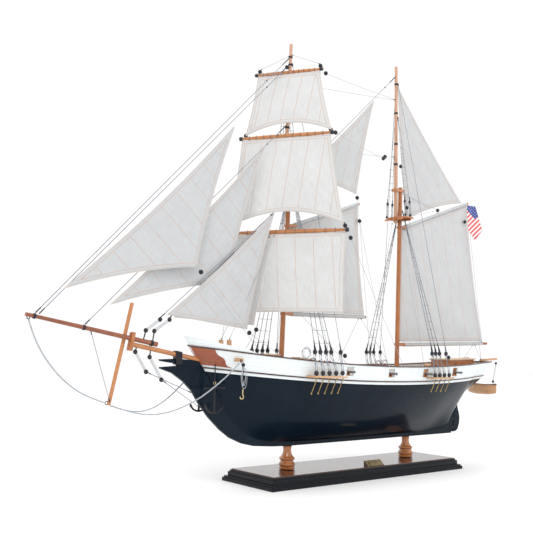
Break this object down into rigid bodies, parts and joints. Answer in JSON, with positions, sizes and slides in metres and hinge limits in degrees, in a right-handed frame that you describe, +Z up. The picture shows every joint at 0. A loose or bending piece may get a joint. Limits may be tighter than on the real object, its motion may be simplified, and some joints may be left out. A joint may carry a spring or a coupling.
{
  "type": "model sailing ship",
  "caption": "Wooden display model of a two-masted sailing ship under full sail, with dark hull, white bulwarks and rigging, standing on turned pedestals over a stepped base.",
  "frame": {"origin": "centre of the underside of the base", "axes": "+X aft, towards the stern; +Y to starboard; +Z up"},
  "size_m": [0.9515, 0.1961, 0.731],
  "materials": {
    "base_lacquer": "black lacquer, high gloss",
    "base_wood": "dark brown polished wood",
    "turned_wood": "orange-brown turned wood, gloss varnish",
    "brass": "polished brass",
    "hull_paint": "dark navy gloss paint on wood",
    "white_paint": "white paint on planked wood",
    "deck_wood": "planked light wood deck",
    "dark_trim": "dark stained wood strip",
    "mahogany": "red-brown varnished wood",
    "spar_wood": "orange-brown varnished wood",
    "pale_spar_wood": "pale pinkish-brown varnished wood",
    "black_fittings": "black painted fittings",
    "light_wood": "light unstained wood",
    "canvas": "off-white woven canvas with tan seams",
    "flag_cloth": "striped cloth",
    "thread": "dark grey twisted thread",
    "grey_rope": "grey twisted rope",
    "gun_metal": "grey metal"
  },
  "bodies": {
    "ship": {"base_board": "base_lacquer", "base_top": "base_wood", "booms": "spar_wood", "bowsprit": "spar_wood", "brass_straps": "brass", "bulwark": "white_paint", "cap_rail": "dark_trim", "channels": "light_wood", "cheeks": "mahogany", "course": "canvas", "davits": "light_wood", "deadeyes": "black_fittings", "deck": "deck_wood", "deck_fittings": "light_wood", "dolphin_striker": "spar_wood", "flag": "flag_cloth", "fore_gaff_sail": "canvas", "gaff_topsail": "canvas", "gaffs": "spar_wood", "gun_barrels": "gun_metal", "gun_carriages": "spar_wood", "house_roofs": "light_wood", "house_walls": "spar_wood", "hull": "hull_paint", "jib_boom": "mahogany", "jib_inner": "canvas", "jib_middle": "canvas", "jib_outer": "canvas", "jib_stay": "canvas", "keel": "hull_paint", "lower_masts": "spar_wood", "main_gaff_sail": "canvas", "mast_tops": "spar_wood", "nameplate": "brass", "pedestals": "turned_wood", "pin_rails": "spar_wood", "pulley_blocks": "black_fittings", "rope_boom": "grey_rope", "rope_port": "grey_rope", "rope_starboard": "grey_rope", "running_rigging": "thread", "spar_bands": "black_fittings", "spar_caps": "spar_wood", "spar_jaws": "spar_wood", "standing_rigging": "thread", "topgallant_sail": "canvas", "topmast_staysail": "canvas", "topmasts": "pale_spar_wood", "topsail": "canvas", "wale": "dark_trim", "washboard": "white_paint", "yards": "spar_wood"},
    "rudder_body": {"rudder": "hull_paint"},
    "boat_body": {"stern_boat": "light_wood", "boat_trim": "dark_trim", "boat_falls": "thread"},
    "port_anchor_body": {"anchor_port": "black_fittings"},
    "starboard_anchor_body": {"anchor_starboard": "black_fittings"},
    "port_tackle_body": {"cat_tackle_port": "black_fittings"},
    "starboard_tackle_body": {"cat_tackle_starboard": "black_fittings"}
  },
  "joints": [
    {"name": "rudder_turn", "type": "hinge", "parent": "ship", "child": "rudder_body", "pos_m": [0.2688, 0, 0.057], "axis": [0.1211, 0, 0.9926], "range_deg": [-30, 30]},
    {"name": "boat_swing", "type": "hinge", "parent": "ship", "child": "boat_body", "pos_m": [0.362, 0, 0.1908], "axis": [0, 1, 0], "range_deg": [-20, 8]},
    {"name": "port_anchor_swing", "type": "hinge", "parent": "ship", "child": "port_anchor_body", "pos_m": [-0.294, -0.02, 0.184], "axis": [1, 0, 0], "range_deg": [-20, 3]},
    {"name": "starboard_anchor_swing", "type": "hinge", "parent": "ship", "child": "starboard_anchor_body", "pos_m": [-0.294, 0.02, 0.184], "axis": [1, 0, 0], "range_deg": [-3, 20]},
    {"name": "port_tackle_swing", "type": "hinge", "parent": "ship", "child": "port_tackle_body", "pos_m": [-0.268, -0.0534, 0.1832], "axis": [0, 1, 0], "range_deg": [-20, 20]},
    {"name": "starboard_tackle_swing", "type": "hinge", "parent": "ship", "child": "starboard_tackle_body", "pos_m": [-0.268, 0.0534, 0.1832], "axis": [0, 1, 0], "range_deg": [-20, 20]}
  ]
}
